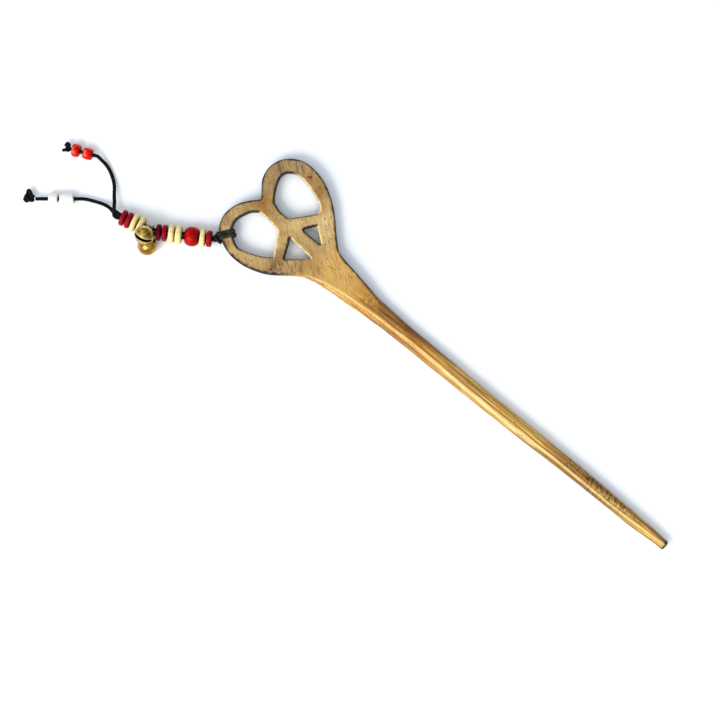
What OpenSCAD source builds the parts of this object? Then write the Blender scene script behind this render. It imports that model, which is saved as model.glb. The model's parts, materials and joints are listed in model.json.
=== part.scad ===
// Hair stick with a heart-and-peace-sign head and a beaded cord dangle with two bells.
// The stick lies flat: +X runs from the head to the tip, +Z is up, and z = 0 is its resting face.
// The origin is under the centre of the stick's own bounding box.

/* [Stick] */
// Thickness of the slab that the head and the shaft are cut from
slab_t = 4.4; // [3.8:0.1:5.2]
// Depth of the seat filed under the lobe for the cord
seat_depth = 1.3; // [1.2:0.05:1.5]

/* [Cord] */
// Diameter of the waxed cord
cord_d = 1.2; // [1:0.05:1.25]

/* [Strand beads] */
// Outer diameter of the cream discs
cream_od = 6; // [5.2:0.1:6.2]
// Outer diameter of the red discs
red_od = 5.3; // [4.6:0.1:5.4]
// Outer diameter of the barrel bead
barrel_od = 6.2; // [5.4:0.1:6.4]
// Bore of the beads that carry the doubled cord
strand_bore = 2.7; // [2.6:0.05:2.9]

/* [Bells] */
// Outer diameter of a bell
bell_od = 6; // [5.4:0.1:6.1]
// Wall thickness of a bell
bell_wall = 0.4; // [0.3:0.05:0.6]
// Width of the slot in a bell
slot_w = 0.6; // [0.4:0.05:0.8]
// Diameter of the loose pellet in a bell
pellet_d = 1.6; // [1.2:0.1:1.8]
// Wire diameter of a bell's hanging loop
loop_wire = 0.5; // [0.4:0.05:0.6]
// Inner diameter of a bell's hanging loop
loop_id = 3.4; // [3.3:0.05:3.5]

/* [Tail beads] */
// Bore of the beads on the single tails
tail_bore = 1.5; // [1.4:0.05:1.7]
// Outer diameter of the larger red seed bead
seed_od = 4.2; // [3.6:0.1:4.3]
// Outer diameter of the white tube beads
tube_od = 3.7; // [3:0.1:3.7]

/* [Hidden] */

$fn = 48;
cord_r = cord_d / 2;
mid_z = slab_t / 2;
// Height of the cord through the beads, which lie on the same surface as the stick
strand_z = 3.1;

// Steps of the curves through the outline's points, and of an edge's rounding
curve_steps = 5;
round_steps = 4;

// Outline of the head, from the neck round each lobe to the notch
upper_lobe = [
    [-51, 3.6], [-54.8, 7.3], [-60.8, 13.2], [-66.9, 17], [-73, 18.5], [-78, 17.9],
    [-82, 14.9], [-83.9, 10.4], [-83.2, 6], [-81.1, 3], [-79.6, 0.9]
];
lower_lobe = [
    [-79.6, 0.9], [-82.2, -1.8], [-84.6, -5.4], [-85.5, -10], [-84.2, -14], [-81, -16.8],
    [-75.5, -18.6], [-69.8, -18.2], [-63.8, -16], [-58, -11.9], [-54, -9.4], [-51, -8.6]
];

// The four openings: each lobe has a straight bar side and a round side
upper_bar = [[-76, 2.8], [-72.5, 1.7], [-69, 1.7]];
upper_round = [
    [-63, 8.4], [-64, 10.8], [-69, 13], [-75, 14.1], [-78.5, 12.4], [-79.3, 9.8], [-78, 6], [-76, 2.8]
];
lower_bar = [[-77.5, -2.4], [-73.5, -2.5], [-69.5, -3.2]];
lower_round = [
    [-65.3, -10.7], [-67.4, -12.3], [-71, -14], [-75.5, -15.3], [-78.7, -14], [-81, -11.8],
    [-81.6, -8.5], [-79.8, -4.4], [-77.5, -2.4]
];
lower_triangle = [[-65.6, -2.5], [-55.6, -3.4], [-62.4, -9.3], [-64.5, -4.2]];
upper_triangle = [[-64, 1.7], [-61, 5.7], [-55.6, 1.4]];

// Shaft sections: x, centre y, width, thickness, edge rounding on the -Y side and on the +Y side
shaft_sections = [
    [-53, -2.2, 12.9, 4.4, 0.4, 0.2],
    [-49, -2.65, 11.1, 4.4, 1.0, 0.3],
    [-45, -2.8, 10.0, 4.4, 1.8, 0.4],
    [-41, -3.0, 9.1, 4.4, 2.4, 0.6],
    [-37, -3.15, 8.2, 4.4, 2.6, 0.9],
    [-33, -3.35, 7.2, 4.4, 2.9, 1.5],
    [-29, -3.4, 6.8, 4.4, 3.3, 2.8],
    [-24, -3.4, 6.1, 4.4, 2.95, 2.95],
    [-12, -3.5, 5.8, 4.4, 2.8, 2.8],
    [4, -3.6, 5.6, 4.4, 2.7, 2.7],
    [26, -3.5, 5.3, 4.3, 2.55, 2.55],
    [44, -3.3, 4.9, 4.1, 2.35, 2.35],
    [60, -3.3, 4.5, 3.8, 2.15, 2.15],
    [72, -3.4, 4.2, 3.4, 2.0, 2.0],
    [79, -3.35, 3.7, 3.1, 1.7, 1.7],
    [83, -3.35, 3.1, 2.8, 1.35, 1.35],
    [84.9, -3.4, 2.7, 2.5, 1.0, 1.0],
    [85.5, -3.4, 2.2, 2.1, 0.8, 0.8]
];

// Where the cord is hitched: the middle of the lobe's band, and the band's direction
hitch_at = [-80.8, -14.5];
hitch_turn = -30;
// Size across and along the band of the seat under it
seat_across = 9;
seat_along = 3.2;
// A leg of the hitch, across the band and up: over it, down its inner wall and back under it
leg_plan = [
    [-2.75, 3.3], [-2.35, 4.4], [0, 5.05], [1.9, 4.9], [2.7, 3.7], [2.7, 1.6], [1.9, 0.75], [0, 0.65],
    [-2.1, 0.75]
];
// The loop of the hitch, across the strand and up, and its place along the strand
knot_arch = [
    [-1.6, 1.9], [-2, 3], [-1.5, 4.4], [0, 4.9], [1.5, 4.4], [2, 3], [1.6, 1.9]
];
knot_s = -0.55;
// Gap between two cords that lie side by side
cord_gap = 0.02;

// The strand leaves the hitch at strand_from, runs straight, and bends once, at the bells
strand_from = [-83.45, -18.05];
inner_turn = 212;
inner_len = 18.6;
// Gap left at the bend between the two straight stretches
bend_gap = 0.4;
outer_turn = 194.5;
outer_len = 12.2;
bend_at = strand_from + inner_len * heading(inner_turn);

// Routes of the two tails, and the straight ends that carry their beads
red_route = [
    [-113, -30.3, 3.7], [-114.4, -28.6, 3.1], [-116, -26.9, 2.2], [-118.3, -24.3, 1.1],
    [-121, -22.4, 0.7], [-123.7, -21.2, 0.9], [-126.5, -20.8, 1.6]
];
red_end_at = [-128.8, -21.2, 2.15];
red_end_turn = 204;
red_end_stops = [0, 2.5, 5, 7.6];
white_route = [
    [-113.3, -31, 2.2], [-115.2, -30.8, 1.7], [-117.2, -31.2, 1.3], [-120, -32.3, 1.2],
    [-122.6, -33.6, 1.5]
];
white_end_at = [-124.6, -35.2, 1.85];
white_end_turn = 219;
white_end_stops = [0, 4, 8, 12.6];

// Place along its stretch of cord, and length, of each bead and knot
red_disc_1_at = [1.2, 2];
cream_disc_1_at = [3.3, 2];
red_barrel_bead_at = [6.65, 4.5];
cream_disc_2_at = [10.8, 2.2];
cream_disc_3_at = [13.05, 2.2];
red_disc_2_at = [15.15, 1.8];
red_disc_3_at = [17.05, 1.8];
cream_disc_4_at = [4.4, 2.3];
cream_disc_5_at = [6.6, 1.9];
red_disc_4_at = [8.5, 1.8];
red_disc_5_at = [10.4, 1.8];
split_knot_at = [12.7, 2.6];
red_seed_bead_2_at = [1.9, 3.2];
red_seed_bead_1_at = [5.75, 2.9];
end_knot_red_at = [8.4, 1.6];
white_tube_bead_1_at = [2.9, 5.2];
white_tube_bead_2_at = [7.1, 3];
end_knot_white_at = [13.8, 2.4];
// Rounding of the edges of each kind of bead and knot
disc_edge = 0.6;
barrel_edge = 1.7;
seed_edge = 0.9;
tube_edge = 0.4;
split_knot_edge = 1.1;
red_knot_edge = 0.7;
white_knot_edge = 1;
// Outer diameter of each knot
split_knot_od = 2.9;
red_knot_od = 2.9;
white_knot_od = 3.4;
// How much smaller the seed bead farther from the knot is
seed_step = 0.4;

// Where each bell hangs on the cord, its turn round the cord and its lean along it, and how far
// its centre is from the cord
bell_1_hang = [2.25, 67, 6.1, 5.65];
bell_2_hang = [0.7, -1.2, 7.5, 4.7];
// How far round the bell its slot sits from the point opposite the loop, and where it starts
slot_turn = -11;
slot_from = 0.4;
// How far a bell's loop is sunk in its skin, and the play under its pellet
loop_sink = 0.1;
pellet_play = 0.05;

function heading(a) = [cos(a), sin(a)];
function unit(v) = v / norm(v);
function lift(p, z) = [p[0], p[1], z];

// One point of a smooth curve through a, b, c and d, at share t of the way from b to c
function curve_point(a, b, c, d, t) =
    0.5 * (2 * b + (c - a) * t + (2 * a - 5 * b + 4 * c - d) * t * t
    + (3 * b - a - 3 * c + d) * t * t * t);

// A smooth curve through every point of a list, with a number of steps between each pair
function curve(p, steps) =
    let (last = len(p) - 1)
    concat(
        [for (i = [0:last - 1]) for (k = [0:steps - 1])
            curve_point(p[max(i - 1, 0)], p[i], p[i + 1], p[min(i + 2, last)], k / steps)],
        [p[last]]
    );

// Leaves out a curve's last point, where the next curve of the outline starts
function open_end(p) = [for (i = [0:len(p) - 2]) p[i]];

// Rounded rectangle of one shaft section, as points in its own plane
function section_ring(s) =
    let (half = s[2] / 2, rise = min(s[3], slab_t) / 2)
    [for (corner = [0:3]) for (k = [0:round_steps])
        let (
            a = 90 * (corner + k / round_steps),
            near = corner == 1 || corner == 2,
            wide = near ? s[4] : s[5],
            tall = min(rise - 0.05, wide + 0.3),
            y = s[1] + (near ? wide - half : half - wide) + wide * cos(a),
            z = mid_z + (corner < 2 ? rise - tall : tall - rise) + tall * sin(a)
        )
        [s[0], y, z]];

// Rings of a round tube along a path; ref is never along the path
function tube_rings(path, r, ref, sides) =
    let (last = len(path) - 1)
    [for (i = [0:last])
        let (
            along = unit(path[min(i + 1, last)] - path[max(i - 1, 0)]),
            up = unit(cross(along, ref)),
            across = cross(along, up)
        )
        [for (k = [0:sides - 1])
            path[i] + r * (cos(360 * k / sides) * up + sin(360 * k / sides) * across)]];

// Solid skin over a list of rings that all have the same number of points
module skin(rings) {
    n = len(rings[0]);
    last = len(rings) - 1;
    points = [for (ring = rings) for (p = ring) p];
    sides = [for (i = [0:last - 1]) for (k = [0:n - 1])
        [i * n + k, (i + 1) * n + k, (i + 1) * n + (k + 1) % n, i * n + (k + 1) % n]];
    start = [for (k = [0:n - 1]) k];
    end = [for (k = [0:n - 1]) last * n + n - 1 - k];
    polyhedron(points = points, faces = concat(sides, [start, end]), convexity = 6);
}

module tube(path, ref) {
    skin(tube_rings(path, cord_r, ref, 8));
}

// Places a child on the inner or outer strand, with its axis along the cord
module on_inner(s) {
    translate(lift(strand_from, strand_z)) rotate([0, 0, inner_turn]) translate([s, 0, 0])
        rotate([0, 90, 0]) children();
}

module on_outer(s) {
    translate(lift(bend_at, strand_z)) rotate([0, 0, outer_turn]) translate([s, 0, 0])
        rotate([0, 90, 0]) children();
}

module on_red_end(s) {
    translate(red_end_at) rotate([0, 0, red_end_turn]) translate([s, 0, 0])
        rotate([0, 90, 0]) children();
}

module on_white_end(s) {
    translate(white_end_at) rotate([0, 0, white_end_turn]) translate([s, 0, 0])
        rotate([0, 90, 0]) children();
}

// Half outline of a bead whose outer edges are rounded; the bead's middle is at the origin
function bead_outline(len, od, bore, edge) =
    let (h = len / 2, r = od / 2)
    concat(
        [[bore / 2, -h]],
        [for (k = [0:round_steps])
            let (a = 90 * k / round_steps)
            [r - edge + edge * sin(a), -h + edge - edge * cos(a)]],
        [for (k = [0:round_steps])
            let (a = 90 * k / round_steps)
            [r - edge + edge * cos(a), h - edge + edge * sin(a)]],
        [[bore / 2, h]]
    );

module bead(len, od, bore, edge) {
    rotate_extrude() polygon(bead_outline(len, od, bore, edge));
}

module hair_stick() {
    head = concat(open_end(curve(upper_lobe, curve_steps)), curve(lower_lobe, curve_steps));
    upper = concat(curve(upper_bar, curve_steps), open_end(curve(upper_round, curve_steps)));
    lower = concat(curve(lower_bar, curve_steps), open_end(curve(lower_round, curve_steps)));
    color("burlywood") difference() {
        union() {
            linear_extrude(slab_t) polygon(head);
            skin([for (s = curve(shaft_sections, 2)) section_ring(s)]);
        }
        for (hole = [upper, lower, lower_triangle, upper_triangle])
            translate([0, 0, -1]) linear_extrude(slab_t + 2) polygon(hole);
        translate(lift(hitch_at, 0)) rotate([0, 0, hitch_turn])
            cube([seat_along, seat_across, 2 * seat_depth], center = true);
    }
}

// A point near the hitch: v across the band, positive towards the head, and w along the band
function by_hitch(v, w, z) =
    lift(hitch_at + v * heading(hitch_turn + 90) + w * heading(hitch_turn), z);

// A point near the strand's start: s along the strand and w across it
function by_strand(s, w, z) =
    lift(strand_from + s * heading(inner_turn) + w * heading(inner_turn + 90), z);

module cord_hitch() {
    w = (cord_d + cord_gap) / 2;
    color("dimgray") for (side = [-1, 1])
        tube(concat(
            [by_strand(0, side * w, strand_z), by_strand(-1.2, side * w, strand_z)],
            [for (p = leg_plan) by_hitch(p[0], side * w, p[1])]
        ), lift(heading(hitch_turn), 0));
}

// The loop of the hitch, which crosses over both legs where they come off the band
module cord_bight() {
    color("black") tube([for (p = knot_arch) by_strand(knot_s, p[0], p[1])], lift(heading(inner_turn), 0));
}

// The doubled cord, side by side, along one straight stretch
module doubled(from, turn, len) {
    color("black") translate(lift(from, strand_z)) rotate([0, 0, turn]) for (side = [-1, 1])
        translate([0, side * (cord_d + cord_gap) / 2, 0]) rotate([0, 90, 0]) cylinder(h = len, r = cord_r);
}

module cord_inner() {
    doubled(strand_from, inner_turn, inner_len - bend_gap);
}

module cord_outer() {
    doubled(bend_at, outer_turn, outer_len);
}

module red_disc_1() {
    color("firebrick") on_inner(red_disc_1_at[0])
        bead(red_disc_1_at[1], red_od, strand_bore, disc_edge);
}

module cream_disc_1() {
    color("wheat") on_inner(cream_disc_1_at[0])
        bead(cream_disc_1_at[1], cream_od, strand_bore, disc_edge);
}

module red_barrel_bead() {
    color("crimson") on_inner(red_barrel_bead_at[0])
        bead(red_barrel_bead_at[1], barrel_od, strand_bore, barrel_edge);
}

module cream_disc_2() {
    color("wheat") on_inner(cream_disc_2_at[0])
        bead(cream_disc_2_at[1], cream_od, strand_bore, disc_edge);
}

module cream_disc_3() {
    color("wheat") on_inner(cream_disc_3_at[0])
        bead(cream_disc_3_at[1], cream_od, strand_bore, disc_edge);
}

module red_disc_2() {
    color("firebrick") on_inner(red_disc_2_at[0])
        bead(red_disc_2_at[1], red_od, strand_bore, disc_edge);
}

module red_disc_3() {
    color("darkred") on_inner(red_disc_3_at[0])
        bead(red_disc_3_at[1], red_od, strand_bore, disc_edge);
}

module cream_disc_4() {
    color("wheat") on_outer(cream_disc_4_at[0])
        bead(cream_disc_4_at[1], cream_od, strand_bore, disc_edge);
}

module cream_disc_5() {
    color("wheat") on_outer(cream_disc_5_at[0])
        bead(cream_disc_5_at[1], cream_od, strand_bore, disc_edge);
}

module red_disc_4() {
    color("firebrick") on_outer(red_disc_4_at[0])
        bead(red_disc_4_at[1], red_od, strand_bore, disc_edge);
}

module red_disc_5() {
    color("firebrick") on_outer(red_disc_5_at[0])
        bead(red_disc_5_at[1], red_od, strand_bore, disc_edge);
}

// Puts a child at a bell's centre, with the loop towards -Y and the mouth towards +Y
module at_bell(hang) {
    translate(lift(bend_at, strand_z)) rotate([0, 0, outer_turn]) translate([hang[0], 0, 0])
        rotate([hang[1], 0, 0]) rotate([0, 0, hang[2]]) translate([0, hang[3], 0]) children();
}

module bell_shell() {
    r = bell_od / 2;
    difference() {
        sphere(r);
        sphere(r - bell_wall);
        rotate([slot_turn, 0, 0]) translate([-r, slot_from, -slot_w / 2]) cube([2 * r, r, slot_w]);
    }
}

// Soldered on opposite the mouth, sunk a little into the shell's skin
module bell_loop() {
    ring_r = (loop_id + loop_wire) / 2;
    translate([0, -bell_od / 2 - ring_r - loop_wire / 2 + loop_sink, 0]) rotate([0, 90, 0])
        rotate_extrude() translate([ring_r, 0]) circle(d = loop_wire, $fn = 24);
}

// The pellet rests on the lowest point of the shell's inner wall
module bell_pellet(hang) {
    drop = bell_od / 2 - bell_wall - pellet_d / 2 - pellet_play;
    rotate([0, 0, -hang[2]]) rotate([-hang[1], 0, 0]) translate([0, 0, -drop]) sphere(d = pellet_d);
}

module bell_1_shell() {
    color("gold") at_bell(bell_1_hang) bell_shell();
}

module bell_1_loop() {
    color("goldenrod") at_bell(bell_1_hang) bell_loop();
}

module bell_1_pellet() {
    color("silver") at_bell(bell_1_hang) bell_pellet(bell_1_hang);
}

module bell_2_shell() {
    color("gold") at_bell(bell_2_hang) bell_shell();
}

module bell_2_loop() {
    color("goldenrod") at_bell(bell_2_hang) bell_loop();
}

module bell_2_pellet() {
    color("silver") at_bell(bell_2_hang) bell_pellet(bell_2_hang);
}

// Overhand knot that holds the beads and parts the cord into its two tails
module split_knot() {
    color("black") on_outer(split_knot_at[0])
        bead(split_knot_at[1], split_knot_od, 0, split_knot_edge);
}

module cord_tail_red() {
    end = [for (s = red_end_stops) red_end_at + s * lift(heading(red_end_turn), 0)];
    color("black") tube(concat(red_route, end), [0, 0, 1]);
}

module cord_tail_white() {
    end = [for (s = white_end_stops) white_end_at + s * lift(heading(white_end_turn), 0)];
    color("black") tube(concat(white_route, end), [0, 0, 1]);
}

module red_seed_bead_2() {
    color("red") on_red_end(red_seed_bead_2_at[0])
        bead(red_seed_bead_2_at[1], seed_od - seed_step, tail_bore, seed_edge);
}

module red_seed_bead_1() {
    color("red") on_red_end(red_seed_bead_1_at[0])
        bead(red_seed_bead_1_at[1], seed_od, tail_bore, seed_edge);
}

module end_knot_red() {
    color("black") on_red_end(end_knot_red_at[0])
        bead(end_knot_red_at[1], red_knot_od, 0, red_knot_edge);
}

module white_tube_bead_1() {
    color("ivory") on_white_end(white_tube_bead_1_at[0])
        bead(white_tube_bead_1_at[1], tube_od, tail_bore, tube_edge);
}

module white_tube_bead_2() {
    color("ivory") on_white_end(white_tube_bead_2_at[0])
        bead(white_tube_bead_2_at[1], tube_od, tail_bore, tube_edge);
}

module end_knot_white() {
    color("black") on_white_end(end_knot_white_at[0])
        bead(end_knot_white_at[1], white_knot_od, 0, white_knot_edge);
}

hair_stick();
cord_hitch();
cord_bight();
cord_inner();
cord_outer();
red_disc_1();
cream_disc_1();
red_barrel_bead();
cream_disc_2();
cream_disc_3();
red_disc_2();
red_disc_3();
cream_disc_4();
cream_disc_5();
red_disc_4();
red_disc_5();
bell_1_shell();
bell_1_loop();
bell_1_pellet();
bell_2_shell();
bell_2_loop();
bell_2_pellet();
split_knot();
cord_tail_red();
cord_tail_white();
red_seed_bead_1();
red_seed_bead_2();
end_knot_red();
white_tube_bead_1();
white_tube_bead_2();
end_knot_white();
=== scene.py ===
"""Looks of the hair stick: carved stick, waxed cord, beads and jingle bells, on a pale floor."""
import json
import math

import bpy
import numpy as np
from mathutils import Matrix, Vector, kdtree, noise


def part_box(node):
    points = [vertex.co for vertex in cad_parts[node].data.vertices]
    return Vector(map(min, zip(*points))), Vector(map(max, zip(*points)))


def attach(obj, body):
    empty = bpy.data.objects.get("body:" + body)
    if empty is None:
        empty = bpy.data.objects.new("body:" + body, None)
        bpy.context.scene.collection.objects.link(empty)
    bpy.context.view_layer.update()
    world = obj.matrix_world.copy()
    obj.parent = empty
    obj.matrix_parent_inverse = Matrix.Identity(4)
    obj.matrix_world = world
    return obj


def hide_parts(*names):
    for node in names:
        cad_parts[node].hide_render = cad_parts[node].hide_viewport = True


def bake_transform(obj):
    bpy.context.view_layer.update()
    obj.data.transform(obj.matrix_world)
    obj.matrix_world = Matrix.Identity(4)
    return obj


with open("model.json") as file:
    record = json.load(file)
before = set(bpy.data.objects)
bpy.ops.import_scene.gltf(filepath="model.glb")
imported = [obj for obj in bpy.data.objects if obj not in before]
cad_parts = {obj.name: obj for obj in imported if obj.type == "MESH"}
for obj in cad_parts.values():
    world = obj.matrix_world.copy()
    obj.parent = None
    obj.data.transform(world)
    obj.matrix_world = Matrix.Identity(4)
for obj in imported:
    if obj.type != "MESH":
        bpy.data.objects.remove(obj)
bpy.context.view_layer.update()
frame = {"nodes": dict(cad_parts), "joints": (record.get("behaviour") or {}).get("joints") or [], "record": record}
AXES = {j["child"]: Vector(j["axis"]) for j in frame["joints"]}


def heading(degrees):
    """Unit vector in the plane of the floor."""
    return Vector((math.cos(math.radians(degrees)), math.sin(math.radians(degrees)), 0))


# ---------------------------------------------------------------- camera, looking straight down
VIEW_WIDTH = 0.2232
VIEW_CENTRE = (-0.0244, -0.0184)
VIEW_TURN = 39.1
VIEW_RIGHT = heading(VIEW_TURN)
VIEW_DOWN = heading(VIEW_TURN - 90)
LENS = 100
SENSOR = 36
# Height of the stick's upper face
FACE_Z = 0.0044

camera_data = bpy.data.cameras.new("camera")
camera_data.lens = LENS
camera_data.sensor_width = SENSOR
camera = bpy.data.objects.new("camera", camera_data)
camera.location = (*VIEW_CENTRE, FACE_Z + VIEW_WIDTH * LENS / SENSOR)
camera.rotation_euler = (0, 0, math.radians(VIEW_TURN))
camera_data.clip_start = 0.01
camera_data.clip_end = 10
bpy.context.scene.collection.objects.link(camera)
bpy.context.scene.camera = camera


# ---------------------------------------------------------------- shader helpers
class Shader:
    """A material's node tree, with one short method per kind of node."""

    def __init__(self, name, **sockets):
        self.material = bpy.data.materials.new(name)
        self.material.use_nodes = True
        self.tree = self.material.node_tree
        self.surface = self.tree.nodes["Principled BSDF"]
        for socket, value in sockets.items():
            self.surface.inputs[socket.replace("_", " ")].default_value = value
        self.coordinates = self.tree.nodes.new("ShaderNodeTexCoord").outputs["Object"]

    def node(self, kind, inputs=None, **settings):
        made = self.tree.nodes.new("ShaderNode" + kind)
        for key, value in settings.items():
            setattr(made, key, value)
        for key, value in (inputs or {}).items():
            self.put(made.inputs[key], value)
        return made

    def put(self, socket, value):
        if isinstance(value, bpy.types.NodeSocket):
            self.tree.links.new(value, socket)
        elif socket.type == "RGBA":
            socket.default_value = (*value[:3], 1)
        else:
            socket.default_value = value

    def stretched(self, scale, turn=0.0):
        """Object coordinates scaled per axis, after a turn about Z in degrees."""
        vector = self.coordinates
        if turn:
            spin = {"Vector": vector, "Angle": math.radians(turn)}
            vector = self.node("VectorRotate", spin, rotation_type="Z_AXIS").outputs[0]
        return self.node("VectorMath", {0: vector, 1: scale}, operation="MULTIPLY").outputs[0]

    def noise(self, scale, detail=3.0, roughness=0.55, vector=None):
        inputs = {
            "Vector": vector or self.coordinates, "Scale": scale, "Detail": detail, "Roughness": roughness,
        }
        return self.node("TexNoise", inputs).outputs[0]

    def cells(self, scale, vector):
        return self.node("TexVoronoi", {"Vector": vector, "Scale": scale}).outputs["Distance"]

    def math(self, operation, a, b=0.0):
        return self.node("Math", {0: a, 1: b}, operation=operation).outputs[0]

    def band(self, value, low, high, out_low=0.0, out_high=1.0):
        """value between low and high becomes out_low to out_high, smoothly and clamped."""
        inputs = {"Value": value, 1: low, 2: high, 3: out_low, 4: out_high}
        return self.node("MapRange", inputs, interpolation_type="SMOOTHSTEP").outputs[0]

    def ramp(self, value, stops):
        made = self.node("ValToRGB", {0: value})
        elements = made.color_ramp.elements
        while len(elements) < len(stops):
            elements.new(0.5)
        for element, (place, colour) in zip(elements, stops):
            element.position = place
            element.color = (*colour, 1)
        return made.outputs[0]

    def mix(self, share, a, b, blend="MIX"):
        made = self.node("Mix", data_type="RGBA", blend_type=blend)
        for socket, value in ((0, share), (6, a), (7, b)):
            self.put(made.inputs[socket], value)
        return made.outputs[2]

    def attribute(self, name):
        return self.node("Attribute", attribute_name=name).outputs["Fac"]

    def tint(self, colour, attribute, other, share=1.0, blend="MIX"):
        """colour, turned by share into other where the mesh attribute is 1."""
        return self.mix(self.math("MULTIPLY", self.attribute(attribute), share), colour, other, blend)

    def finish(self, colour, roughness, *heights):
        """heights are (value, depth in metres); each bump builds on the one before."""
        self.put(self.surface.inputs["Base Color"], colour)
        self.put(self.surface.inputs["Roughness"], roughness)
        normal = None
        for height, depth in heights:
            bump = self.node("Bump", {"Height": height, "Distance": depth, "Strength": 1.0})
            if normal:
                self.put(bump.inputs["Normal"], normal)
            normal = bump.outputs[0]
        if normal:
            self.put(self.surface.inputs["Normal"], normal)
        return self.material


# ---------------------------------------------------------------- materials
# Direction of the crosswise file and sanding marks, and the colour of burnt edges and pits, also used for the
# painted shade along the head's edges and walls
FILED_TURN = -51
BURNT = (0.012, 0.008, 0.006)


def bone_face(s, speck):
    """Matt tan, clouded and mottled, with the colours of the marked places."""
    cloud = s.noise(170, 6, 0.65)
    mottle = s.noise(520, 4, 0.7)
    face = s.ramp(cloud, [
        (0.34, (0.27, 0.145, 0.042)), (0.5, (0.43, 0.265, 0.088)), (0.66, (0.57, 0.375, 0.145)),
    ])
    face = s.mix(s.band(mottle, 0.50, 0.66, 0, 0.6), face, (0.30, 0.165, 0.055))
    face = s.mix(s.band(mottle, 0.36, 0.48, 0.45, 0), face, (0.62, 0.43, 0.19))
    face = s.mix(s.band(speck, 0.52, 0.72, 0, 0.45), face, (0.27, 0.145, 0.045))
    face = s.tint(face, "pale", (0.68, 0.46, 0.19))
    face = s.tint(face, "dull", (0.235, 0.155, 0.070))
    face = s.tint(face, "stain", (0.28, 0.105, 0.012))
    return s.tint(face, "warm", (0.66, 0.365, 0.062), 0.6)


def bone_shaft(s, streak):
    """Polished amber with lengthwise streaks, a painted yellow highlight where the side slopes to the key light,
    and painted brown shade on the far side, with a darker strip under the ridge.
    """
    long_streak = s.noise(1, 4, 0.6, vector=s.stretched((40, 1800, 1300)))
    amber = s.ramp(streak, [
        (0.38, (0.15, 0.055, 0.008)), (0.49, (0.46, 0.23, 0.042)), (0.60, (0.80, 0.50, 0.12)),
    ])
    # Painted highlight: yellow where the shaft's side slopes towards the key light
    amber = s.tint(amber, "gold", (0.88, 0.57, 0.135))
    amber = s.mix(s.band(long_streak, 0.48, 0.55, 0, 0.72), amber, (0.24, 0.095, 0.012))
    # Painted shade: dark brown on the shaft's far side from the light, and on a darker strip under the ridge
    return s.tint(amber, "painted_shade_and_dark_strip", (0.16, 0.066, 0.010), s.band(streak, 0.36, 0.56, 0.9, 0.5))


def carved_bone():
    """Matt face and polished shaft, with file marks, sanding lines, pores, nicks and burnt edges, and with painted
    highlights and painted shade.
    """
    s = Shader("carved_bone", Specular_IOR_Level=0.3)
    shaft = s.attribute("shaft")
    speck = s.noise(1300, 3, 0.6)
    streak = s.noise(1, 5, 0.65, vector=s.stretched((50, 1500, 900)))
    colour = s.mix(shaft, bone_face(s, speck), bone_shaft(s, streak))

    lines = s.noise(1, 3, 0.65, vector=s.stretched((1700, 150, 900), turn=FILED_TURN))
    hatch = s.math("MULTIPLY", s.band(lines, 0.48, 0.56), s.attribute("hatch"))
    colour = s.mix(s.math("MULTIPLY", hatch, 0.8), colour, (0.10, 0.05, 0.016))
    sanding = s.noise(1, 3, 0.7, vector=s.stretched((4200, 190, 900), turn=FILED_TURN))
    sanded = s.math("MULTIPLY", s.band(sanding, 0.50, 0.64, 0, 0.5), s.band(shaft, 0.0, 0.5, 1, 0))
    colour = s.mix(sanded, colour, (0.22, 0.12, 0.042))

    pore_cells = s.cells(1000, s.stretched((0.7, 1.0, 1.0)))
    pores = s.math("MULTIPLY", s.band(pore_cells, 0.12, 0.24, 1, 0), s.band(s.noise(330, 2), 0.46, 0.58))
    colour = s.mix(s.math("MULTIPLY", pores, 0.75), colour, (0.09, 0.04, 0.013))
    scratch = s.noise(1, 2, 0.6, vector=s.stretched((1500, 620, 500), turn=-22))
    nicks = s.math("MULTIPLY", s.band(scratch, 0.50, 0.56), s.attribute("scuff"))
    colour = s.mix(nicks, colour, (0.07, 0.03, 0.008))

    colour = s.tint(colour, "pit", BURNT)
    # Painted highlight: a pale line along the shaft's ridge and on the openings' walls that face the light
    colour = s.tint(colour, "painted_highlight", (0.93, 0.70, 0.29))
    colour = s.tint(colour, "rich", (1.0, 0.80, 0.45), 0.8, blend="MULTIPLY")
    # Burnt edges together with painted shade on the edges and walls that face away from the light
    colour = s.tint(colour, "edge", BURNT, s.band(s.noise(900, 4, 0.7), 0.25, 0.45, 0.88, 1.0))
    gloss = s.band(shaft, 0.0, 1.0, 0.6, 0.3)
    roughness = s.math("ADD", gloss, s.band(speck, 0.3, 0.8, -0.05, 0.12))
    filed = s.math("MULTIPLY", lines, s.attribute("hatch"))
    return s.finish(
        colour, roughness,
        (filed, 0.00010), (pores, -0.00008), (nicks, -0.00008), (streak, 0.00006), (speck, 0.00003),
    )


def waxed_cord():
    """Black waxed cord: fine plied fibres, with a grey-green bloom where the wax is rubbed."""
    s = Shader("waxed_cord", Specular_IOR_Level=0.05)
    fibre = s.noise(5200, 3, 0.7)
    rubbed = s.noise(700, 3, 0.6)
    bloom = s.math("MULTIPLY", s.band(rubbed, 0.38, 0.62, 0.15, 1.0), s.attribute("worn"))
    colour = s.mix(bloom, (0.0022, 0.0024, 0.0022), (0.058, 0.062, 0.048))
    colour = s.mix(s.band(fibre, 0.6, 0.8, 0, 0.2), colour, (0.02, 0.022, 0.018))
    return s.finish(colour, s.band(rubbed, 0.3, 0.7, 0.6, 0.42), (fibre, 0.00006), (rubbed, 0.00008))


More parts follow.
